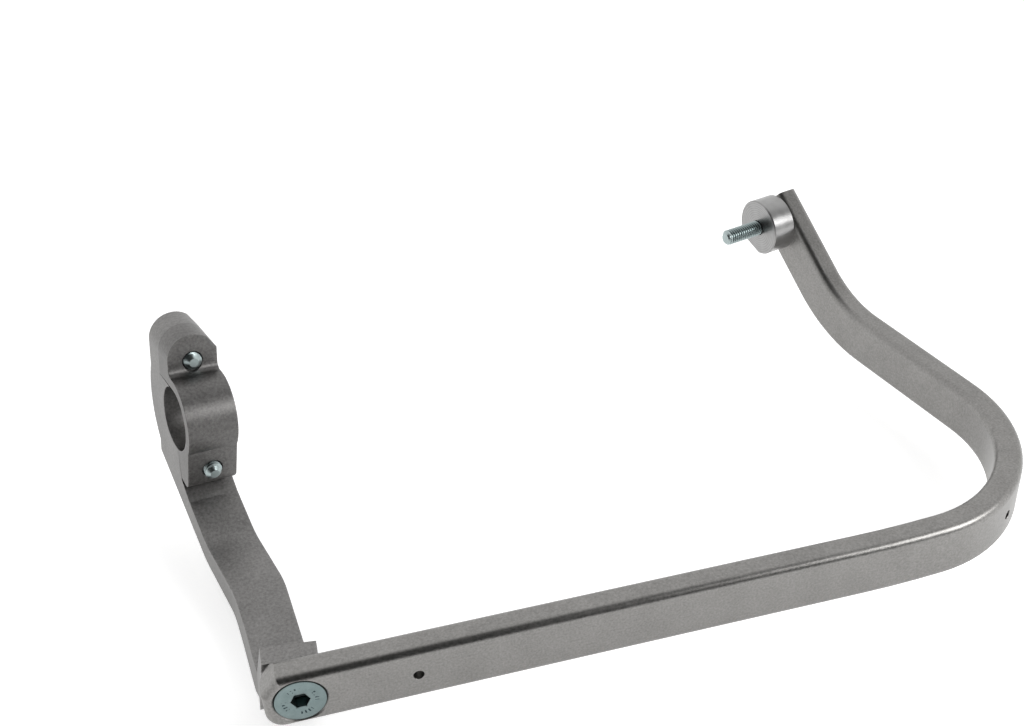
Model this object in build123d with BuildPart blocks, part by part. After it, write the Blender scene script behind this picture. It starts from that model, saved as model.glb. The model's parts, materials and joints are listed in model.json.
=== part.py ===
from build123d import *
import os
from math import cos, radians, sin

os.makedirs("parts", exist_ok=True)

# Motorcycle hand guard for one end of a handlebar.
# The origin is the centre of the handlebar bore in the clamp. +X points outboard, +Y points back
# towards the rider and +Z points up.

# Backbone: one flat bar, bent round the rider's knuckles and back to the bar end
bar_height = 19.0
bar_thickness = 9.0
bar_edge_radius = 2.5
front_run = 172.46
sweep_radius = 373.5
sweep_angle = 4.3
corner_radius = 47.65
corner_angle = 99.87
corner_lean_angle = -2.18
return_run = 49.74
return_twist_angle = 2.69
rise_radius = 49.69
rise_angle = 37.0
rise_lean_angle = -89.5
end_run = 29.38
end_margin = 8.0
toe_overhang = 10.5
toe_cut_run = 5.0
toe_cut_rise = 6.0
toe_foot_radius = 5.5
shell_hole_diameter = 3.3
shell_hole_spacing = 33.9
shell_hole_angle = 31.7

# Joint between the arm and the front run, measured from the handlebar bore
joint_out = 19.3
joint_ahead = 103.3
joint_drop = 29.4
joint_screw_diameter = 8.0
joint_shank_diameter = 7.2
joint_screw_length = 16.0
joint_head_diameter = 15.76
joint_head_sink = 0.29
joint_socket_width = 5.0
joint_socket_depth = 3.4
joint_clearance_hole = 9.0

# Handlebar clamp: the arm is its back half and the saddle is its front half
handlebar_diameter = 22.2
handlebar_sweep_angle = 18.2
handlebar_rise_angle = 9.5
clamp_width = 16.9
saddle_wall = 3.2
back_wall = 13.9
upper_tilt_angle = -2.0
lower_tilt_angle = 6.5
upper_split = -13.3
upper_lug_front = -3.6
upper_lug_back = -23.0
upper_lip = 10.4
upper_screw_height = 18.3
lug_arc_rise = 1.3
lug_corner_height = 3.6
lug_corner_reach = 5.2
lower_split_top = 3.0
lower_split_bottom = 6.8
lower_lug_front = 13.2
lower_lug_bottom = -20.4
lower_lug_ledge = -6.0
lower_screw_height = -14.0
split_gap = 0.3
lip_gap = 0.7
lug_fillet = 2.0
web_fillet = 2.5
lug_hook_fillet = 2.5
ledge_step = 1.2

# Arm: a cranked strip from the clamp down to the foot behind the bar
arm_crotch = (11.5, -26.8)
arm_shelf_start = (27.5, -34.0)
arm_heel_start = (-17.5, -22.6)
arm_heel_end = (26.5, -41.0)
arm_crank = 52.3
arm_crank_top = -36.2
arm_crank_bottom = -44.3
crank_fillet = 25.0
crank_turn_fillet = 40.0
crotch_fillet = 1.0
strip_thickness = 7.2
strip_lean = 1.6
strip_width = 15.9
step_back = 33.5
step_left = -14.7
step_top = -7.4
foot_left = -9.2
foot_width = 16.2
foot_depth_in = 8.2
foot_depth_out = 6.2
foot_top = 6.8
root_depth = 14.3
root_left = -12.3
root_top = -9.6
heel_left = -10.6
heel_thickness = 1.0
foot_nick = 2.4
foot_nick_depth = 1.2

# Clamp screws, bar-end spacer and bar-end bolt
clamp_screw_diameter = 6.0
clamp_head_diameter = 10.0
clamp_head_height = 6.0
clamp_head_edge = 0.5
upper_screw_tip = 2.0
lower_screw_tip = 2.6
upper_seat = -17.0
lower_seat = -9.0
socket_width = 5.0
socket_depth = 3.0
spacer_diameter = 22.0
spacer_length = 9.4
spacer_flat = 10.0
spacer_flat_angle = 110.0
spacer_edge = 0.5
end_bolt_diameter = 6.0
end_shank_diameter = 5.3
end_thread_start = 0.5
end_bolt_length = 35.0
end_head_diameter = 11.6
end_head_sink = 0.8
end_socket_width = 4.0
end_socket_depth = 2.4

# Clearances
thread_clearance = 0.05
head_clearance = 0.25
cone_clearance = 0.05
tip_chamfer = 0.7
screw_mouth = 0.5
cut_past = 1.0
tolerance = 0.01

joint = Vector(joint_out, -joint_ahead, -joint_drop)
rear_face = bar_thickness / 2


def leaning_axis(section, radius, lean):
    """Bend axis of a bar section: square to the run, leaning from its height towards its inner face."""
    direction = section.y_dir * cos(radians(lean)) + section.x_dir * sin(radians(lean))
    return Axis(section.origin + direction.cross(section.z_dir) * radius, direction)


def carried(section, axis, angle):
    """The section plane after the bar has turned by the angle about the axis."""
    arm = section.origin - axis.position
    return Plane(
        origin=axis.position + arm.rotate(axis, angle),
        x_dir=section.x_dir.rotate(axis, angle),
        z_dir=section.z_dir.rotate(axis, angle),
    )


# Section planes along the bar: x is the inner face's normal, y is the bar's height, z runs along it
front_end = Plane(origin=joint + Vector(front_run, 0, 0), x_dir=(0, 1, 0), z_dir=(1, 0, 0))
sweep_axis = leaning_axis(front_end, sweep_radius, corner_lean_angle)
corner_start = carried(front_end, sweep_axis, sweep_angle)
corner_axis = leaning_axis(corner_start, corner_radius, corner_lean_angle)
corner_end = carried(corner_start, corner_axis, corner_angle)
return_end = Plane(corner_end.offset(return_run).location * Rotation(0, 0, return_twist_angle))
rise_axis = leaning_axis(return_end, rise_radius, rise_lean_angle)
rise_end = carried(return_end, rise_axis, rise_angle)
bolt_section = rise_end.offset(end_run)

front_face = Plane(origin=joint - Vector(0, rear_face, 0), x_dir=(1, 0, 0), z_dir=(0, -1, 0))
corner_hole_section = carried(corner_start, corner_axis, shell_hole_angle)
corner_hole_face = Plane(
    origin=corner_hole_section.origin - corner_hole_section.x_dir * rear_face,
    x_dir=corner_hole_section.z_dir,
    z_dir=-corner_hole_section.x_dir,
)
bolt_outer_face = Plane(
    origin=bolt_section.origin - bolt_section.x_dir * rear_face,
    x_dir=bolt_section.z_dir,
    z_dir=-bolt_section.x_dir,
)
bolt_inner_face = Plane(
    origin=bolt_section.origin + bolt_section.x_dir * rear_face,
    x_dir=bolt_section.z_dir,
    z_dir=bolt_section.x_dir,
)

# Countersinks are as wide as the head's cone would be where it meets the bar's face
joint_sink_radius = joint_head_diameter / 2 + joint_head_sink
end_sink_radius = end_head_diameter / 2 + end_head_sink

with BuildPart() as backbone:
    # Front run with its toe cut back at the top and rounded at the bottom
    half = bar_height / 2
    with BuildSketch(front_face):
        with BuildLine():
            FilletPolyline(
                (-toe_overhang, -half),
                (front_run, -half),
                (front_run, half),
                (toe_cut_run - toe_overhang, half),
                (-toe_overhang, half - toe_cut_rise),
                close=True,
                radius=[toe_foot_radius, 0, 0, 0, 0],
            )
        make_face()
    extrude(amount=-bar_thickness)
    outline = backbone.faces().sort_by(Axis.Y)[0].edges()
    inner_edges = backbone.faces().sort_by(Axis.Y)[-1].edges().filter_by(Axis.X)
    fillet(outline.sort_by(Axis.X)[:-1] + inner_edges, radius=bar_edge_radius)

    # Gentle sweep, then the tight corner round the hand
    for section, axis, angle in (
        (front_end, sweep_axis, sweep_angle),
        (corner_start, corner_axis, corner_angle),
        (return_end, rise_axis, rise_angle),
    ):
        with BuildSketch(section):
            RectangleRounded(bar_thickness, bar_height, bar_edge_radius)
        revolve(axis=axis, revolution_arc=angle)

    # Return run, which twists slightly between the two bends
    with BuildSketch(corner_end, return_end):
        RectangleRounded(bar_thickness, bar_height, bar_edge_radius)
    loft(ruled=True)

    # Straight end, cut square past the bar-end bolt
    with BuildSketch(rise_end):
        RectangleRounded(bar_thickness, bar_height, bar_edge_radius)
    extrude(amount=end_run + end_margin)

    # Holes for the joint screw, the bar-end bolt and the two tapped holes that hold a shell
    with Locations(front_face):
        CounterSinkHole(joint_clearance_hole / 2, joint_sink_radius, bar_thickness, 90)
    with Locations(bolt_outer_face):
        CounterSinkHole(end_bolt_diameter / 2 + head_clearance, end_sink_radius, bar_thickness, 90)
    with Locations(front_face * Location((shell_hole_spacing, 0, 0)), corner_hole_face):
        Hole(shell_hole_diameter / 2, bar_thickness)

backbone.part.label = "backbone"
export_step(backbone.part, "parts/backbone.step")

# Clamp planes: x runs forward off the handlebar, y up and z inboard along the handlebar
inboard = Vector(
    -cos(radians(handlebar_rise_angle)) * cos(radians(handlebar_sweep_angle)),
    -cos(radians(handlebar_rise_angle)) * sin(radians(handlebar_sweep_angle)),
    sin(radians(handlebar_rise_angle)),
)
forward = Vector(sin(radians(handlebar_sweep_angle)), -cos(radians(handlebar_sweep_angle)), 0)
clamp_plane = Plane(origin=(0, 0, 0), x_dir=forward, z_dir=inboard)
upper_plane = Plane(clamp_plane.location * Rotation(0, 0, -upper_tilt_angle))
lower_plane = Plane(clamp_plane.location * Rotation(0, 0, -lower_tilt_angle))
bore_radius = handlebar_diameter / 2
saddle_radius = bore_radius + saddle_wall
back_radius = bore_radius + back_wall
half_width = clamp_width / 2


def across_screw(lug_plane, along, height):
    """Plane square to a lug's screw: x runs outboard, y up and z forward along the screw."""
    return Plane(
        origin=lug_plane.from_local_coords((along, height, 0)),
        x_dir=-inboard,
        z_dir=lug_plane.x_dir,
    )


def in_clamp(lug_plane, *points):
    """Points given along and above a lug's screw, as points of the clamp plane."""
    places = [clamp_plane.to_local_coords(lug_plane.from_local_coords((*p, 0))) for p in points]
    return [(place.X, place.Y) for place in places]


# Upper lug seen along its screw: round on the inboard side, cut off on the outboard side
with BuildSketch() as upper_lug_outline:
    with Locations((0, lug_arc_rise)):
        Circle(half_width)
    with Locations((0, -half_width)):
        Rectangle(clamp_width, clamp_width, mode=Mode.SUBTRACT)
    with BuildLine():
        Polyline(
            (-half_width, 0),
            (half_width, 0),
            (half_width, lug_corner_height),
            (lug_corner_reach, lug_arc_rise + (half_width**2 - lug_corner_reach**2) ** 0.5),
            (0, lug_corner_height),
            (-half_width, lug_arc_rise),
            close=True,
        )
    make_face()
    with BuildLine():
        Polyline(
            (half_width, lug_corner_height),
            (half_width, 2 * half_width),
            (lug_corner_reach, 2 * half_width),
            (lug_corner_reach, lug_arc_rise + (half_width**2 - lug_corner_reach**2) ** 0.5),
            close=True,
        )
    make_face(mode=Mode.SUBTRACT)

upper_screw_back = across_screw(upper_plane, upper_lug_back, upper_screw_height)
upper_screw_split = across_screw(upper_plane, upper_split, upper_screw_height)
upper_screw_front = across_screw(upper_plane, upper_lug_front, upper_screw_height)
lower_screw_front = across_screw(lower_plane, lower_lug_front, lower_screw_height)
lower_split_line = in_clamp(
    lower_plane, (lower_split_top, -bore_radius), (lower_split_bottom, lower_lug_bottom - cut_past)
)
foot_front_plane = Plane(origin=joint + Vector(0, rear_face, 0), x_dir=(1, 0, 0), z_dir=(0, -1, 0))

with BuildPart() as clamp_arm:
    # Back of the clamp and the upper strip, in one outline across the clamp's width
    with BuildSketch(clamp_plane):
        with BuildLine():
            FilletPolyline(
                arm_heel_start,
                arm_heel_end,
                (arm_crank, arm_crank_bottom),
                (arm_crank, arm_crank_top),
                arm_shelf_start,
                arm_crotch,
                *reversed(lower_split_line),
                (0, 0),
                (arm_heel_start[0], 0),
                close=True,
                radius=[crotch_fillet, crank_fillet, 0, 0, crank_fillet, crotch_fillet, 0, 0, 0, 0],
            )
        make_face()
    extrude(amount=half_width, both=True)

    # Round back of the clamp
    with BuildSketch(clamp_plane):
        Circle(back_radius)
        with Locations((back_radius, 0)):
            Rectangle(2 * back_radius, 2 * back_radius, mode=Mode.SUBTRACT)
        with Locations((0, back_radius + upper_lip)):
            Rectangle(2 * back_radius, 2 * back_radius, mode=Mode.SUBTRACT)
    extrude(amount=half_width, both=True)

    # Back half of the lower lug, up to the slanting split
    with BuildSketch(clamp_plane):
        with BuildLine():
            Polyline(
                (arm_heel_start[0], 0),
                (0, 0),
                *lower_split_line,
                arm_heel_start,
                close=True,
            )
        make_face()
    extrude(amount=half_width, both=True)

    # Lip under the saddle's upper lug, and the back half of that lug
    with BuildSketch(clamp_plane):
        with BuildLine():
            Polyline(
                *in_clamp(
                    upper_plane,
                    (upper_lug_back + clamp_head_edge, 0),
                    (0, 0),
                    (0, upper_lip),
                    (upper_lug_back + clamp_head_edge, upper_lip),
                ),
                close=True,
            )
        make_face()
    extrude(amount=half_width, both=True)
    with BuildSketch(upper_screw_back):
        add(upper_lug_outline.sketch)
        with Locations((0, -upper_screw_height / 2)):
            Rectangle(clamp_width, upper_screw_height)
    extrude(amount=upper_split - upper_lug_back)

    # Strip turning down and straight ahead at the crank, and running in under the foot
    crank_section = Plane(
        origin=clamp_plane.from_local_coords((arm_crank, 0, 0)), x_dir=-inboard, z_dir=forward
    )
    crank_thickness = arm_crank_top - arm_crank_bottom
    step_section = foot_front_plane.offset(-step_back)
    root_section = foot_front_plane.offset(-root_depth)
    for section, left, width, top, thickness, lean in (
        (crank_section, -half_width, clamp_width, arm_crank_top, crank_thickness, 0),
        (step_section, step_left, strip_width, step_top, strip_thickness, strip_lean),
        (root_section, root_left, strip_width, root_top, strip_thickness, strip_lean),
        (foot_front_plane, heel_left, strip_width, root_top, heel_thickness, 0),
    ):
        with BuildSketch(section):
            with BuildLine():
                Polyline(
                    (left, top),
                    (left + width, top),
                    (left + width - lean, top - thickness),
                    (left - lean, top - thickness),
                    close=True,
                )
            make_face()
    loft(ruled=True)
    crank_sides = clamp_arm.edges().filter_by(
        lambda e: all(abs(crank_section.to_local_coords(v.center()).Z) < tolerance for v in e.vertices())
        and e.length < crank_thickness + tolerance
    )
    fillet(crank_sides, radius=crank_turn_fillet)

    # Foot: the block that tapers up off the strip behind the bar and takes the joint screw
    for height, left, width, depth_in, depth_out in (
        (root_top, root_left, strip_width, root_depth, root_depth),
        (foot_top, foot_left, foot_width, foot_depth_in, foot_depth_out),
    ):
        with BuildSketch(Plane(origin=joint + Vector(0, rear_face, height))):
            with BuildLine():
                Polyline(
                    (left, 0), (left + width, 0), (left + width, depth_out), (left, depth_in), close=True
                )
            make_face()
    loft(ruled=True)

    # Small nick where the foot's inboard corner meets the bar
    with BuildSketch(foot_front_plane):
        with BuildLine():
            Polyline(
                (foot_left - foot_nick, foot_top),
                (foot_left + foot_nick, foot_top),
                (foot_left - foot_nick, foot_top - 2 * foot_nick),
                close=True,
            )
        make_face()
    extrude(amount=-foot_nick_depth, mode=Mode.SUBTRACT)

    # Handlebar bore, seats and passages of the two clamp screws, and the joint screw's thread
    with BuildSketch(clamp_plane):
        Circle(bore_radius)
    extrude(amount=clamp_width, both=True, mode=Mode.SUBTRACT)
    with BuildSketch(upper_screw_back):
        Circle(clamp_head_diameter / 2 + head_clearance)
    extrude(amount=upper_seat - upper_lug_back, mode=Mode.SUBTRACT)
    with BuildSketch(across_screw(lower_plane, lower_seat, lower_screw_height)):
        Circle(clamp_head_diameter / 2 + head_clearance)
    extrude(amount=-2 * back_radius, mode=Mode.SUBTRACT)
    for plane, seat, height, split in (
        (upper_plane, upper_seat, upper_screw_height, upper_split),
        (lower_plane, lower_seat, lower_screw_height, lower_split_bottom),
    ):
        with BuildSketch(across_screw(plane, seat, height)):
            Circle(clamp_screw_diameter / 2 + head_clearance)
        extrude(amount=split - seat + cut_past, mode=Mode.SUBTRACT)
    with BuildSketch(foot_front_plane):
        Circle(joint_screw_diameter / 2 + thread_clearance)
    extrude(amount=-root_depth, mode=Mode.SUBTRACT)

clamp_arm.part.label = "clamp_arm"
export_step(clamp_arm.part, "parts/clamp_arm.step")

with BuildPart() as clamp_saddle:
    # Front half of the clamp: curved wall with the lower lug, in one outline
    with BuildSketch(clamp_plane) as saddle_outline:
        Circle(saddle_radius)
        with BuildLine():
            Polyline(
                *in_clamp(
                    lower_plane,
                    (0, lower_lug_ledge + ledge_step),
                    (saddle_radius - ledge_step, lower_lug_ledge + ledge_step),
                    (lower_lug_front, lower_lug_ledge - ledge_step / 2),
                    (lower_lug_front, lower_lug_bottom),
                    (0, lower_lug_bottom),
                ),
                close=True,
            )
        make_face()
        with BuildLine():
            Polyline(
                *in_clamp(
                    upper_plane,
                    (upper_split, 0),
                    (upper_split, upper_screw_height),
                    (upper_lug_front, upper_screw_height),
                    (upper_lug_front, 0),
                ),
                close=True,
            )
        make_face()
        web_corner = in_clamp(
            upper_plane, (upper_lug_front, (saddle_radius**2 - upper_lug_front**2) ** 0.5)
        )
        fillet(saddle_outline.vertices().sort_by_distance(Vector(*web_corner[0]))[0], radius=web_fillet)
        with BuildLine():
            Polyline(
                *in_clamp(
                    upper_plane,
                    (-2 * saddle_radius, upper_lip + lip_gap),
                    (0, upper_lip + lip_gap),
                ),
                (0, 0),
                *in_clamp(
                    lower_plane,
                    (lower_split_top + split_gap, -bore_radius),
                    (lower_split_bottom + split_gap, lower_lug_bottom),
                    (lower_split_bottom + split_gap, 2 * lower_lug_bottom),
                    (-2 * saddle_radius, 2 * lower_lug_bottom),
                ),
                close=True,
            )
        make_face(mode=Mode.SUBTRACT)
        Circle(bore_radius, mode=Mode.SUBTRACT)
    extrude(amount=half_width, both=True)

    # Rounded bottom of the lower lug, and its rounded outboard corner
    lug_edges = clamp_saddle.edges().filter_by(lambda e: abs(e.length - clamp_width) < tolerance)
    fillet(lug_edges.sort_by(Axis((0, 0, 0), lower_plane.y_dir))[:2], radius=lug_fillet)
    with BuildSketch(across_screw(lower_plane, lower_lug_front, lower_lug_bottom)):
        with Locations((half_width - lug_hook_fillet / 2, lug_hook_fillet / 2)):
            Rectangle(lug_hook_fillet, lug_hook_fillet)
        with Locations((half_width - lug_hook_fillet, lug_hook_fillet)):
            Circle(lug_hook_fillet, mode=Mode.SUBTRACT)
    extrude(amount=-clamp_width, mode=Mode.SUBTRACT)
    with BuildSketch(upper_screw_split):
        add(upper_lug_outline.sketch)
    extrude(amount=upper_lug_front - upper_split)

    # Threaded holes for the clamp screws, each with a chamfered mouth
    tapped_radius = clamp_screw_diameter / 2 + thread_clearance
    with Locations(upper_screw_front, lower_screw_front):
        CounterSinkHole(tapped_radius, tapped_radius + screw_mouth, clamp_width, 90)

clamp_saddle.part.label = "clamp_saddle"
export_step(clamp_saddle.part, "parts/clamp_saddle.step")


def socket_screw(head_plane, length):
    """Socket-head cap screw: its head sits on the plane and its shank runs along the plane's z."""
    with BuildPart() as screw:
        with BuildSketch(head_plane):
            Circle(clamp_head_diameter / 2)
        extrude(amount=-clamp_head_height)
        fillet(screw.edges().sort_by(Axis((0, 0, 0), head_plane.z_dir))[0], radius=clamp_head_edge)
        with BuildSketch(head_plane):
            Circle(clamp_screw_diameter / 2)
        extrude(amount=length)
        chamfer(screw.edges().sort_by(Axis((0, 0, 0), head_plane.z_dir))[-1], length=tip_chamfer)
        with BuildSketch(head_plane.offset(-clamp_head_height)):
            RegularPolygon(socket_width / 2, 6, major_radius=False)
        extrude(amount=socket_depth, mode=Mode.SUBTRACT)
    return screw.part


clamp_screw_upper = socket_screw(
    across_screw(upper_plane, upper_seat, upper_screw_height),
    upper_lug_front - upper_seat + upper_screw_tip,
)
clamp_screw_upper.label = "clamp_screw_upper"
export_step(clamp_screw_upper, "parts/clamp_screw_upper.step")

clamp_screw_lower = socket_screw(
    across_screw(lower_plane, lower_seat, lower_screw_height),
    lower_lug_front - lower_seat + lower_screw_tip,
)
clamp_screw_lower.label = "clamp_screw_lower"
export_step(clamp_screw_lower, "parts/clamp_screw_lower.step")


def countersunk_screw(top, head_diameter, shank, thread, length, thread_length, width, depth):
    """Countersunk socket screw: its flat top is on the plane and its shank runs against z."""
    cone_end = -cone_clearance - (head_diameter - shank) / 2
    with BuildPart() as screw:
        with BuildSketch(Plane(origin=top.origin, x_dir=top.x_dir, z_dir=top.x_dir.cross(top.z_dir))):
            with BuildLine():
                Polyline(
                    (0, 0),
                    (head_diameter / 2, 0),
                    (head_diameter / 2, -cone_clearance),
                    (shank / 2, cone_end),
                    (shank / 2, thread_length - length),
                    (thread / 2, thread_length - length),
                    (thread / 2, tip_chamfer - length),
                    (thread / 2 - tip_chamfer, -length),
                    (0, -length),
                    close=True,
                )
            make_face()
        revolve(axis=Axis(top.origin, top.z_dir))
        with BuildSketch(top):
            RegularPolygon(width / 2, 6, major_radius=False)
        extrude(amount=-depth, mode=Mode.SUBTRACT)
    return screw.part


joint_screw = countersunk_screw(
    front_face.offset(2 * cone_clearance - joint_head_sink),
    joint_head_diameter,
    joint_shank_diameter,
    joint_screw_diameter,
    joint_screw_length,
    joint_screw_length - bar_thickness,
    joint_socket_width,
    joint_socket_depth,
)
joint_screw.label = "joint_screw"
export_step(joint_screw, "parts/joint_screw.step")

end_bolt_proud = end_bolt_length - bar_thickness - spacer_length - end_head_sink + 2 * cone_clearance
bar_end_bolt = countersunk_screw(
    bolt_outer_face.offset(2 * cone_clearance - end_head_sink),
    end_head_diameter,
    end_shank_diameter,
    end_bolt_diameter,
    end_bolt_length,
    end_bolt_proud - end_thread_start,
    end_socket_width,
    end_socket_depth,
)
bar_end_bolt.label = "bar_end_bolt"
export_step(bar_end_bolt, "parts/bar_end_bolt.step")

with BuildPart() as bar_end_spacer:
    # Turned spacer with one shallow flat, bored for the bolt
    with BuildSketch(bolt_inner_face):
        Circle(spacer_diameter / 2)
        with Locations(Rotation(0, 0, spacer_flat_angle) * Pos(spacer_flat + spacer_diameter / 2, 0, 0)):
            Rectangle(spacer_diameter, spacer_diameter, mode=Mode.SUBTRACT)
    extrude(amount=spacer_length)
    rims = bar_end_spacer.faces().sort_by(Axis((0, 0, 0), bolt_inner_face.z_dir))[-1].edges()
    chamfer(rims, length=spacer_edge)
    with Locations(bolt_inner_face.offset(spacer_length)):
        Hole(end_bolt_diameter / 2 + thread_clearance, spacer_length)

bar_end_spacer.part.label = "bar_end_spacer"
export_step(bar_end_spacer.part, "parts/bar_end_spacer.step")
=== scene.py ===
# %% [markdown]
# A motorcycle hand guard: one flat aluminium bar bent round the rider's hand, a cranked arm with a split
# clamp for the handlebar, and the screws that hold them. The CAD parts come in with their exact shapes,
# so this lesson is about light, finishes and the small turned pieces that CAD keeps plain.

# %% Load the CAD frame
import bpy
import bmesh
import json
import math
from mathutils import Euler, Matrix, Vector

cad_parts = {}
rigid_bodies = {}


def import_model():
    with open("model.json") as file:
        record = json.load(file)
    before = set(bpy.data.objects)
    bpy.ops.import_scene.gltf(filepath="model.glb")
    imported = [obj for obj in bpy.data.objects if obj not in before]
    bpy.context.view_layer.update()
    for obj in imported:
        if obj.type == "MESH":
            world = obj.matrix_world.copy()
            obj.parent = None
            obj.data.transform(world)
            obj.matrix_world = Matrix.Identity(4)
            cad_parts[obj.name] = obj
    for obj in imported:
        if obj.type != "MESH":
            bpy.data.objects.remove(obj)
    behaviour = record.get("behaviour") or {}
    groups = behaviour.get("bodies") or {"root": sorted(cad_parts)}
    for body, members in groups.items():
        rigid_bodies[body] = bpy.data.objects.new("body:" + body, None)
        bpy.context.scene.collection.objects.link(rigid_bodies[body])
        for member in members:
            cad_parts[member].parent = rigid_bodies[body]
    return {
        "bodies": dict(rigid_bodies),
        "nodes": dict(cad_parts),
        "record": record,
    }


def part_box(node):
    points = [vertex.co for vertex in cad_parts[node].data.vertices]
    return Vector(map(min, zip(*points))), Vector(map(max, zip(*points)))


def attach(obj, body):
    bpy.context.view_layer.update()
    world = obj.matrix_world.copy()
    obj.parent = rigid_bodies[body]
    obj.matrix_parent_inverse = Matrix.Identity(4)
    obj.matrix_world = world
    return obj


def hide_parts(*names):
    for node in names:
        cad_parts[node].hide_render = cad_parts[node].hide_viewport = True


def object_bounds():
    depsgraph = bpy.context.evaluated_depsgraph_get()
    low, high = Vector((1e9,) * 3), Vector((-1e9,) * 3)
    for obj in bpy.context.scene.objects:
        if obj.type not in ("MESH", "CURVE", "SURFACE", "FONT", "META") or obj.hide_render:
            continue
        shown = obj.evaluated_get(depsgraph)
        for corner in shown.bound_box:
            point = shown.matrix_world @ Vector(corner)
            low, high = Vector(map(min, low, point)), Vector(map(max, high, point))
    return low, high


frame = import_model()
nodes = frame["nodes"]
mounts = {mount["name"]: mount for mount in frame["record"]["mounts"]}
body = list(frame["bodies"])[0]
cad_low, cad_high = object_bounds()
mm = 0.001
print("nodes", sorted(nodes), "body", body)
print("size in mm", [round((b - a) / mm, 1) for a, b in zip(cad_low, cad_high)])

# %% [markdown]
# The camera stands in front of the joint and above it and looks down at about 34 degrees. Its place
# and turn were worked out from the handlebar bore, the round screw head and the straight bar edges.

# %% Camera
camera_place = Vector((36.63, -348.66, 236.87)) * mm
camera_turn = [math.radians(angle) for angle in (55.984, 3.189, -13.829)]
picture_width = 1024
focal_pixels = 1213.58
sensor_width = 36
nearest_seen = 0.02

camera_data = bpy.data.cameras.new("camera")
camera_data.sensor_width = sensor_width
camera_data.lens = focal_pixels * sensor_width / picture_width
camera_data.clip_start = nearest_seen
camera = bpy.data.objects.new("camera", camera_data)
camera.location = camera_place
camera.rotation_euler = Euler(camera_turn)
bpy.context.scene.collection.objects.link(camera)
bpy.context.scene.camera = camera
print("lens", round(camera_data.lens, 2), "mm")

# %% [markdown]
# Shader maths reads best as plain sums. A small class wraps one output of a material's nodes, so that
# 1 - mask adds a Math node by itself, and one method makes any other node with its settings first.


# %% Shader sums
class Shade:
    """One output of a material's nodes, for use in Python sums."""

    def __init__(self, tree, socket=None):
        self.tree = tree
        self.socket = socket

    def node(self, kind, settings=None, sockets=None, output=0):
        made = self.tree.nodes.new(kind)
        for name, value in (settings or {}).items():
            setattr(made, name, value)
        for name, value in (sockets or {}).items():
            if isinstance(value, Shade):
                self.tree.links.new(value.socket, made.inputs[name])
            else:
                made.inputs[name].default_value = value
        return Shade(self.tree, made.outputs[output] if made.outputs else None)

    def also(self, output):
        """Another output of the same node."""
        return Shade(self.tree, self.socket.node.outputs[output])

    def sum_with(self, operation, first, second):
        return self.node("ShaderNodeMath", {"operation": operation}, {0: first, 1: second})

    def __add__(self, other):
        return self.sum_with("ADD", self, other)

    __radd__ = __add__

    def __sub__(self, other):
        return self.sum_with("SUBTRACT", self, other)

    def __rsub__(self, other):
        return self.sum_with("SUBTRACT", other, self)

    def __mul__(self, other):
        return self.sum_with("MULTIPLY", self, other)

    __rmul__ = __mul__

    def __pow__(self, other):
        return self.sum_with("POWER", self, other)

    def __gt__(self, other):
        return self.sum_with("GREATER_THAN", self, other)

    def __lt__(self, other):
        return self.sum_with("LESS_THAN", self, other)


# %% [markdown]
# Every metal here is one shader with different grain. A finish starts from Object coordinates, which are
# metres in the part's own frame, so a grain of half a millimetre is the same size on every piece. Each
# finish is a function that returns what varies: colour, roughness and the height of a fine bump.


# %% Finishes
object_coordinates = 3
bevel_samples = 6


def grain(shade, point, size, detail=2.0, rough=0.5):
    """Noise with lumps of about this size in mm, from 0 to 1."""
    sockets = {"Vector": point, "Scale": 1 / (size * mm), "Detail": detail, "Roughness": rough}
    return shade.node("ShaderNodeTexNoise", {}, sockets)


def tone(shade, factor, dark, light):
    """A colour between two, by a factor. Each is three numbers or another colour of the shader."""
    first, second = [colour if isinstance(colour, Shade) else (*colour, 1) for colour in (dark, light)]
    return shade.node("ShaderNodeMix", {"data_type": "RGBA"}, {0: factor, 6: first, 7: second}, output=2)


def spread(shade, value, start, end, low, high, way="LINEAR"):
    """The value's range from start to end, mapped to low to high and held there."""
    settings = {"interpolation_type": way, "clamp": True}
    return shade.node("ShaderNodeMapRange", settings, {"Value": value, 1: start, 2: end, 3: low, 4: high})


def finish(name, paint):
    """A metal. paint gives colour, roughness, then a bump's height, distance, strength and edge radius."""
    material = bpy.data.materials.new(name)
    material.use_nodes = True
    tree = material.node_tree
    tree.nodes.clear()
    shade = Shade(tree)
    point = shade.node("ShaderNodeTexCoord", output=object_coordinates)
    colour, roughness, height, distance, strength, edge = paint(shade, point)
    sockets = {"Height": height, "Distance": distance, "Strength": strength}
    if edge:
        sockets["Normal"] = shade.node("ShaderNodeBevel", {"samples": bevel_samples}, {"Radius": edge})
    normal = shade.node("ShaderNodeBump", {}, sockets)
    metal = {"Base Color": colour, "Roughness": roughness, "Metallic": 1.0, "Normal": normal}
    surface = shade.node("ShaderNodeBsdfPrincipled", {}, metal)
    shade.node("ShaderNodeOutputMaterial", {}, {"Surface": surface})
    print("finish", name, len(tree.nodes), "nodes")
    return material


def dress(name, material):
    """Gives a CAD node this material alone."""
    nodes[name].data.materials.clear()
    nodes[name].data.materials.append(material)


# %% [markdown]
# The bar is extruded, bent and then blasted: even, matte and warm grey, with a very fine grain, faint
# clouds where the blast was heavier, and edges that handling has polished a little brighter. An ambient
# occlusion node that looks inwards is darker near an outer edge, and so it finds those edges.


# %% Bar finish
def worn_edge(shade, width):
    """1 on an outer edge and 0 on an open face."""
    settings = {"inside": True, "samples": 6, "only_local": True}
    inside = shade.node("ShaderNodeAmbientOcclusion", settings, {"Distance": width * mm}, output=1)
    return spread(shade, inside, 0.35, 0.8, 1.0, 0.0)


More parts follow.
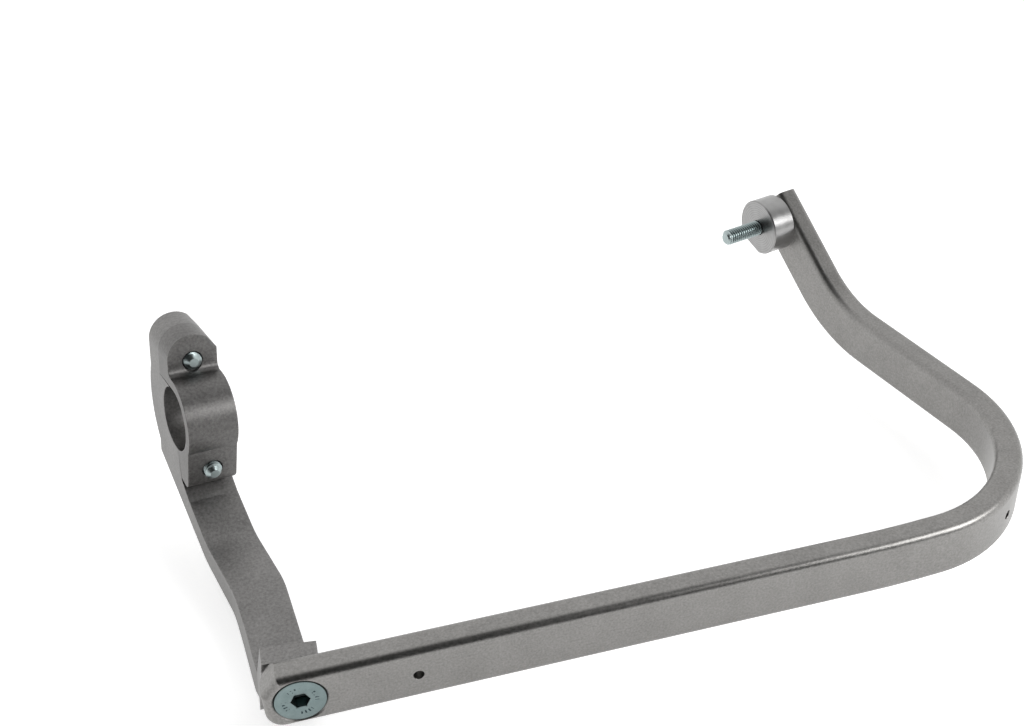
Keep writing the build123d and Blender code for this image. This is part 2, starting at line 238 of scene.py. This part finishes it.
def bar_paint(shade, point):
    clouds = grain(shade, point, 9, 3)
    speckle = grain(shade, point, 0.7, 3, 0.6)
    fine = grain(shade, point, 0.22, 2)
    wear = worn_edge(shade, 1.2)
    mottle = 0.35 * clouds + 1.3 * speckle - 0.35
    colour = tone(shade, mottle + 0.25 * wear, (0.155, 0.152, 0.146), (0.335, 0.328, 0.318))
    roughness = 0.28 + 0.16 * speckle - 0.05 * wear
    height = 0.6 * speckle + 0.4 * fine
    return colour, roughness, height, 0.06 * mm, 0.6, 0.3 * mm


dress("backbone", finish("blasted bar aluminium", bar_paint))

# %% [markdown]
# The arm and the clamp's front half start as castings. Their skin is darker and more speckled than the
# bar, with small light pits from the mould. The front half gets darker tones than the arm as painted
# shade for how the light falls on it, so one function makes the finish between any two tones.


# %% Casting finish
def cast_paint(dark, light):
    """The casting's grain between two tones."""

    def paint(shade, point):
        clouds = grain(shade, point, 14, 3)
        speckle = grain(shade, point, 0.9, 4, 0.65)
        fine = grain(shade, point, 0.3, 2)
        wear = worn_edge(shade, 1.0)
        pits = shade.node("ShaderNodeTexVoronoi", {}, {"Vector": point, "Scale": 1 / (2.4 * mm)})
        flecks = (pits < 0.16) * 0.5
        mottle = 0.4 * clouds + 1.4 * speckle - 0.4
        colour = tone(shade, mottle + 0.2 * wear + 0.2 * flecks, dark, light)
        roughness = 0.34 + 0.2 * speckle - 0.05 * wear
        height = 0.6 * speckle + 0.3 * fine - 0.3 * flecks
        return colour, roughness, height, 0.1 * mm, 0.6, 0.35 * mm

    return paint


cast_tones_and_painted_shade = {
    "clamp_arm": ((0.115, 0.113, 0.11), (0.31, 0.304, 0.298)),
    # The front half's tones are darkened as painted shade.
    "clamp_saddle": ((0.083, 0.081, 0.079), (0.245, 0.24, 0.235)),
}
for name, (dark, light) in cast_tones_and_painted_shade.items():
    dress(name, finish("blasted " + name, cast_paint(dark, light)))

# %% [markdown]
# The spacer is turned from round bar, so its faces carry fine rings about its own axis. A Mapping node
# puts the pattern's centre and axis on the bolt, which the record gives as a mount.

# %% Frame of the bar end
end_mount = mounts["bar_end_bolt"]
end_axis = Vector(end_mount["axis"])
thread_length = end_mount["dims"]["length_mm"]
thread_middle = Vector(end_mount["pos_m"])
thread_start = thread_middle - end_axis * thread_length / 2 * mm
thread_clear_of_spacer = 0.5
spacer_face = thread_start - end_axis * thread_clear_of_spacer * mm
end_turn = end_axis.to_track_quat("Z", "Y").to_euler()
print("spacer face", [round(value / mm, 1) for value in spacer_face])


# %% Turned finish
def turned_paint(shade, point):
    placed = {"Vector": point, "Location": spacer_face, "Rotation": end_turn}
    local = shade.node("ShaderNodeMapping", {"vector_type": "TEXTURE"}, placed)
    ring_kind = {"wave_type": "RINGS", "rings_direction": "Z", "wave_profile": "SIN"}
    ring_size = {"Vector": local, "Scale": 0.35 / mm, "Distortion": 0.4, "Detail": 2}
    rings = shade.node("ShaderNodeTexWave", ring_kind, ring_size)
    dull = grain(shade, point, 3, 3)
    scratches = grain(shade, point, 0.4, 2)
    colour = tone(shade, 0.6 * dull + 0.4 * rings, (0.22, 0.217, 0.213), (0.4, 0.4, 0.4))
    roughness = 0.24 + 0.14 * dull
    height = 0.7 * rings + 0.3 * scratches
    return colour, roughness, height, 0.02 * mm, 0.35, 0.2 * mm


dress("bar_end_spacer", finish("turned aluminium", turned_paint))


# %% [markdown]
# The screws are steel with a thin blue zinc coat: light and a little green-blue, with painted shade in its
# hollows: an ambient occlusion node darkens the thread's grooves and the socket as shade.


# %% Zinc finish
zinc_painted_shade = (0.09, 0.115, 0.12)


def zinc_base(shade, point, dull, bright):
    """Colour and grain of the zinc, between two tones, with painted shade in its hollows."""
    clouds = grain(shade, point, 2.5, 3)
    speckle = grain(shade, point, 0.35, 2)
    settings = {"samples": 8, "only_local": True}
    # Ambient occlusion paints shade into the thread's grooves and the socket.
    open_sky = shade.node("ShaderNodeAmbientOcclusion", settings, {"Distance": 1.2 * mm}, output=1)
    unshaded_share = spread(shade, open_sky, 0.25, 0.8, 0.0, 1.0)
    skin = tone(shade, 0.7 * clouds + 0.3 * speckle, dull, bright)
    return tone(shade, unshaded_share, zinc_painted_shade, skin), speckle


def zinc_paint(shade, point):
    colour, speckle = zinc_base(shade, point, (0.27, 0.32, 0.32), (0.46, 0.53, 0.53))
    return colour, 0.28 + 0.14 * speckle, speckle, 0.01 * mm, 0.3, 0


zinc_steel = finish("blue zinc", zinc_paint)

# %% [markdown]
# The large screw head carries four groups of short plain strokes, pressed in a ring round the socket.
# The shader finds each point's distance and angle from the screw's axis, keeps a ring of them, and
# lets two sines cut the ring into strokes and into groups. Noise breaks some strokes off.

# %% Stamped zinc finish
joint_low, joint_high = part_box("joint_screw")
joint_middle = (joint_low + joint_high) / 2
stroke_ring = 4.7
stroke_length = 1.2
strokes_around = 26
stroke_groups = 4
group_turn = 0.6
stroke_dark = (0.03, 0.045, 0.05)


def stamped_paint(shade, point):
    colour, speckle = zinc_base(shade, point, (0.125, 0.17, 0.172), (0.255, 0.315, 0.315))
    local = shade.node("ShaderNodeVectorMath", {"operation": "SUBTRACT"}, {0: point, 1: joint_middle})
    across = shade.node("ShaderNodeSeparateXYZ", {}, {"Vector": local})
    up = across.also(2)
    radius = (across * across + up * up) ** 0.5
    angle = shade.sum_with("ARCTAN2", up, across)
    wave = shade.node("ShaderNodeMath", {"operation": "SINE"}, {0: angle * strokes_around})
    group = shade.node("ShaderNodeMath", {"operation": "SINE"}, {0: angle * stroke_groups + group_turn})
    broken = grain(shade, point, 0.9, 1)
    inner = radius > (stroke_ring - stroke_length / 2) * mm
    outer = radius < (stroke_ring + stroke_length / 2) * mm
    strokes = inner * outer * (wave > 0.3) * (group > -0.1) * (broken > 0.44)
    marked = tone(shade, strokes, colour, stroke_dark)
    return marked, 0.28 + 0.14 * speckle, speckle - strokes, 0.04 * mm, 0.4, 0


stamped_zinc = finish("stamped blue zinc", stamped_paint)

# %% [markdown]
# A screw is turned on a lathe, so its outline is spun about its axis. Spin makes the faces of one full
# turn from a chain of edges, and merges the last step with the first.

# %% Turned outline
around = 48


def spun(mesh, outline):
    """Turns (radius, height) points a full turn about z."""
    points = [mesh.verts.new((radius, 0, height)) for radius, height in outline]
    lines = [mesh.edges.new(pair) for pair in zip(points, points[1:])]
    bmesh.ops.spin(
        mesh,
        geom=points + lines,
        cent=(0, 0, 0),
        axis=(0, 0, 1),
        dvec=(0, 0, 0),
        angle=math.tau,
        steps=around,
        use_merge=True,
        use_duplicate=False,
    )


def drawn_on(mesh, edges, move, taper):
    """Extrudes an edge loop along z, draws it in by taper and returns the new loop."""
    made = bmesh.ops.extrude_edge_only(mesh, edges=edges)["geom"]
    points = [item for item in made if isinstance(item, bmesh.types.BMVert)]
    bmesh.ops.scale(mesh, vec=(taper, taper, 1), verts=points)
    bmesh.ops.translate(mesh, vec=(0, 0, move), verts=points)
    ring = set(points)
    return [item for item in made if isinstance(item, bmesh.types.BMEdge) and set(item.verts) <= ring]


# %% [markdown]
# The thread is one tooth spun along a helix: each step of the spin turns a little and moves on by a part
# of the pitch. The spiral's ends are cut square and closed, and the last edge is drawn in to make the
# lead at the tip.

# %% Thread
thread_around = 32
tooth_share = 0.61
weld = 0.001


def thread(mesh, diameter, pitch, start, end, lead):
    """A threaded length from start to end, with its tip drawn in by the lead."""
    crest = diameter / 2
    root = crest - tooth_share * pitch
    outline = ((root, 0), (root, 0.12), (crest, 0.44), (crest, 0.56), (root, 0.88), (root, 1))
    turns = math.ceil((end - start) / pitch) + 1
    cut = bmesh.new()
    points = [cut.verts.new((radius, 0, start - pitch + height * pitch)) for radius, height in outline]
    lines = [cut.edges.new(pair) for pair in zip(points, points[1:])]
    bmesh.ops.spin(
        cut,
        geom=points + lines,
        cent=(0, 0, 0),
        axis=(0, 0, 1),
        dvec=(0, 0, pitch / thread_around),
        angle=turns * math.tau,
        steps=turns * thread_around,
        use_merge=False,
        use_duplicate=False,
    )
    bmesh.ops.remove_doubles(cut, verts=cut.verts, dist=weld)
    for height, side in ((start, 1), (end - lead, -1)):
        made = bmesh.ops.bisect_plane(
            cut,
            geom=cut.verts[:] + cut.edges[:] + cut.faces[:],
            plane_co=(0, 0, height),
            plane_no=(0, 0, side),
            clear_inner=True,
        )
        ring = [item for item in made["geom_cut"] if isinstance(item, bmesh.types.BMEdge)]
        if side < 0:
            ring = drawn_on(cut, ring, lead, 1 - lead / crest)
        bmesh.ops.holes_fill(cut, edges=ring, sides=0)
    copy = bpy.data.meshes.new("thread")
    cut.to_mesh(copy)
    cut.free()
    mesh.from_mesh(copy)
    bpy.data.meshes.remove(copy)


# %% [markdown]
# The socket starts from the ring left open in the head's top. That ring is extruded down a little, its
# points are moved out or in to the sides of a hexagon, and two more extrusions make the walls and the
# drilled floor. The short slope between ring and hexagon is the chamfer that a real socket has.

# %% Hexagon socket
mouth_chamfer = 0.2
drill_slope = 0.35
drill_taper = 0.4
ring_width = 0.01


def hex_socket(mesh, width, depth, mouth):
    """Sinks a hexagon hole from the open ring, of the mouth's radius, in the flat top of a head."""
    open_ring = [
        edge
        for edge in mesh.edges
        if edge.is_boundary and all(abs(vert.co.to_2d().length - mouth) < ring_width for vert in edge.verts)
    ]
    rim = drawn_on(mesh, open_ring, -mouth_chamfer, 1)
    for vert in {vert for edge in rim for vert in edge.verts}:
        from_flat = math.atan2(vert.co.y, vert.co.x) % (math.tau / 6) - math.tau / 12
        vert.co.xy = vert.co.xy.normalized() * width / 2 / math.cos(from_flat)
    wall = drawn_on(mesh, rim, -depth, 1)
    floor_ring = drawn_on(mesh, wall, -drill_slope, drill_taper)
    bmesh.ops.holes_fill(mesh, edges=floor_ring, sides=0)


# %% [markdown]
# All four screws are made by the same steps. The outline runs from the socket's mouth, over the head's
# top and down to the end of the neck, and the thread takes over there. The whole screw is then turned
# over, so that z looks out of its head, and moved to its place in the part.

# %% Whole screw
neck_overlap = 0.1
smooth_below = math.radians(32)


def screw(outline, diameter, pitch, length, lead, hexagon, depth):
    """A screw with the top of its head at 0 and its tip at minus the length, in mm."""
    mesh = bmesh.new()
    spun(mesh, outline)
    mouth = outline[0][0]
    neck_end = outline[-1][1]
    thread(mesh, diameter, pitch, neck_end - neck_overlap, length, lead)
    bmesh.ops.transform(mesh, matrix=Matrix.Rotation(math.pi, 4, "X"), verts=mesh.verts)
    hex_socket(mesh, hexagon, depth, mouth)
    return mesh


def put(name, mesh, place, material, slot, *replaced):
    """Moves a finished mesh to its place and makes it a piece that stands for CAD nodes."""
    bmesh.ops.remove_doubles(mesh, verts=mesh.verts, dist=weld)
    bmesh.ops.recalc_face_normals(mesh, faces=mesh.faces)
    bmesh.ops.transform(mesh, matrix=place @ Matrix.Scale(mm, 4), verts=mesh.verts)
    data = bpy.data.meshes.new(name)
    mesh.to_mesh(data)
    mesh.free()
    data.shade_smooth()
    data.set_sharp_from_angle(angle=smooth_below)
    data.materials.append(material)
    piece = bpy.data.objects.new(name, data)
    bpy.context.scene.collection.objects.link(piece)
    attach(piece, body)
    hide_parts(*replaced)
    print(name, len(data.polygons), "faces")


def facing(centre, forward):
    """A matrix whose z axis runs along forward from the centre, both in metres."""
    return Matrix.Translation(centre) @ forward.to_track_quat("Z", "Y").to_matrix().to_4x4()


# %% [markdown]
# The joint screw pulls the bar onto the arm's foot. Its flat countersunk head sits a little below the
# bar's face, and its short upright rim leaves the dark ring that shows round such a head.

# %% Joint screw
joint_top = Vector((joint_middle.x, joint_low.y, joint_middle.z))
outward = Vector((0, -1, 0))
joint_head = 15.76
joint_rim = 7.42
joint_edge = 0.15
joint_neck = 3.5
joint_cone_foot = 4.42
joint_neck_end = 7
joint_outline = (
    (3.05, 0),
    (joint_rim - joint_edge, 0),
    (joint_rim - 0.3 * joint_edge, 0.3 * joint_edge),
    (joint_rim, joint_edge),
    (joint_rim, joint_head / 2 - joint_rim),
    (joint_neck, joint_cone_foot),
    (joint_neck, joint_neck_end),
    (0, joint_neck_end),
)
joint_mesh = screw(joint_outline, diameter=8, pitch=1.25, length=16, lead=0.7, hexagon=5, depth=3.4)
put("joint_screw_turned", joint_mesh, facing(joint_top, outward), stamped_zinc, "zinc_steel", "joint_screw")

# %% [markdown]
# The bar-end bolt has the same kind of head in the bar's outer face and a long thread that goes into
# the handlebar. Its thread is what a reader sees first, so it gets every turn of its helix.

# %% Bar-end bolt
bolt_length = 35
bolt_proud = 15.9
bolt_rim = 5.72
bolt_neck = 2.65
bolt_cone_foot = 3.4
bolt_neck_end = bolt_length - bolt_proud + 0.6
bolt_outline = (
    (2.5, 0),
    (bolt_rim - 0.17, 0),
    (bolt_rim, 0.1),
    (bolt_rim, 0.2),
    (bolt_neck, bolt_cone_foot),
    (bolt_neck, bolt_neck_end),
    (0, bolt_neck_end),
)
bolt_top = spacer_face - end_axis * (bolt_length - bolt_proud) * mm
bolt_mesh = screw(bolt_outline, diameter=6, pitch=1, length=bolt_length, lead=0.7, hexagon=4, depth=2.4)
put("bar_end_bolt_turned", bolt_mesh, facing(bolt_top, -end_axis), zinc_steel, "zinc_steel", "bar_end_bolt")

# %% [markdown]
# The clamp screws come from the back, through the arm's lugs, and their tips stand out of the front
# half's lugs. Their cylinder heads are fluted for fingers, which a spin can't make, so every second
# line of points on the wall is drawn in afterwards.

# %% Clamp screws
inboard = Vector(mounts["handlebar_clamp"]["axis"])
forward = Vector((0, 0, 1)).cross(inboard).normalized()
upward = inboard.cross(forward).normalized()
head_radius = 5
head_height = 6
clamp_neck = 2.5
clamp_neck_end = head_height + 1
flute_taper = 0.965
clamp_outline = (
    (3.2, 0),
    (head_radius - 0.5, 0),
    (head_radius - 0.15, 0.15),
    (head_radius, 0.5),
    (head_radius, head_height),
    (clamp_neck, head_height),
    (clamp_neck, clamp_neck_end),
    (0, clamp_neck_end),
)
lugs = {
    "clamp_screw_upper": {"tilt": 2.0, "height": 18.3, "seat": -17.0, "tip": -1.6},
    "clamp_screw_lower": {"tilt": -6.5, "height": -14.0, "seat": -9.0, "tip": 15.8},
}
print("clamp forward", [round(value, 4) for value in forward], "up", [round(value, 4) for value in upward])

for name, lug in lugs.items():
    tilt = math.radians(lug["tilt"])
    along = forward * math.cos(tilt) + upward * math.sin(tilt)
    across = upward * math.cos(tilt) - forward * math.sin(tilt)
    head_top = (across * lug["height"] + along * (lug["seat"] - head_height)) * mm
    length = lug["tip"] - lug["seat"] + head_height
    mesh = screw(clamp_outline, diameter=6, pitch=1, length=length, lead=1.2, hexagon=5, depth=3)
    wall = [vert for vert in mesh.verts if vert.co.to_2d().length > head_radius - 0.05]
    flutes = [vert for vert in wall if round(math.atan2(vert.co.y, vert.co.x) / math.tau * around) % 2]
    bmesh.ops.scale(mesh, vec=(flute_taper, flute_taper, 1), verts=flutes)
    put(name + "_turned", mesh, facing(head_top, -along), zinc_steel, "zinc_steel", name)

# %% [markdown]
# The picture has a white ground with no visible edge. A pale floor lies just under the lowest point and
# is large enough to fill every view. It glows a little, which keeps the part's shadows on it faint.

# %% Floor
floor_size = 6
floor_middle = 0.1
floor_gap = 0.5 * mm
floor_white = 0.93
floor_glow = 0.55

floor_mesh = bmesh.new()
bmesh.ops.create_grid(floor_mesh, x_segments=1, y_segments=1, size=floor_size / 2)
floor_place = Matrix.Translation((floor_middle, 0, cad_low.z - floor_gap))
bmesh.ops.transform(floor_mesh, matrix=floor_place, verts=floor_mesh.verts)
floor_data = bpy.data.meshes.new("floor")
floor_mesh.to_mesh(floor_data)
floor_mesh.free()
floor = bpy.data.objects.new("floor", floor_data)
bpy.context.scene.collection.objects.link(floor)

floor_finish = bpy.data.materials.new("pale floor")
floor_finish.use_nodes = True
floor_shader = floor_finish.node_tree.nodes["Principled BSDF"]
floor_shader.inputs["Base Color"].default_value = (floor_white, floor_white, floor_white, 1)
floor_shader.inputs["Roughness"].default_value = 0.9
floor_shader.inputs["Emission Color"].default_value = (1, 1, 1, 1)
floor_shader.inputs["Emission Strength"].default_value = floor_glow
floor_data.materials.append(floor_finish)
print("floor", floor_size, "m, at", round((cad_low.z - floor_gap) / mm, 1), "mm")

# %% [markdown]
# Metal shows what it reflects, so the studio is a soft white dome with one dark patch, above and in
# front, which draws the dark line along the bar's top edge. A Dot Product with the patch's direction
# says how near a ray comes to it. A panel at the right catches the bar's far corner.

# %% Light
dome_white = 1.4
dark_side = Vector((-0.05, -0.82, 0.57)).normalized()
dark_outside = 0.2
dark_inside = 0.8

bpy.context.scene.view_settings.view_transform = "Standard"
world = bpy.data.worlds.new("studio")
world.use_nodes = True
world.node_tree.nodes.clear()
sky = Shade(world.node_tree)
direction = sky.node("ShaderNodeTexCoord")
measured = {0: direction, 1: dark_side}
toward_dark = sky.node("ShaderNodeVectorMath", {"operation": "DOT_PRODUCT"}, measured, output=1)
dome = spread(sky, toward_dark, dark_outside, dark_inside, dome_white, 0.0, "SMOOTHSTEP")
background = sky.node("ShaderNodeBackground", {}, {"Strength": dome})
sky.node("ShaderNodeOutputWorld", {}, {"Surface": background})
bpy.context.scene.world = world

panel_data = bpy.data.lights.new("right", "AREA")
panel_data.shape = "RECTANGLE"
panel_data.size = 0.28
panel_data.size_y = 0.28
panel_data.energy = 2.2
panel = bpy.data.objects.new("right", panel_data)
panel.location = (0.58, -0.4, 0.33)
panel_target = Vector((0.19, -0.08, -0.03))
panel.rotation_euler = (panel_target - panel.location).to_track_quat("-Z", "Y").to_euler()
bpy.context.scene.collection.objects.link(panel)
print("panel", panel.name, panel_data.energy, "W")
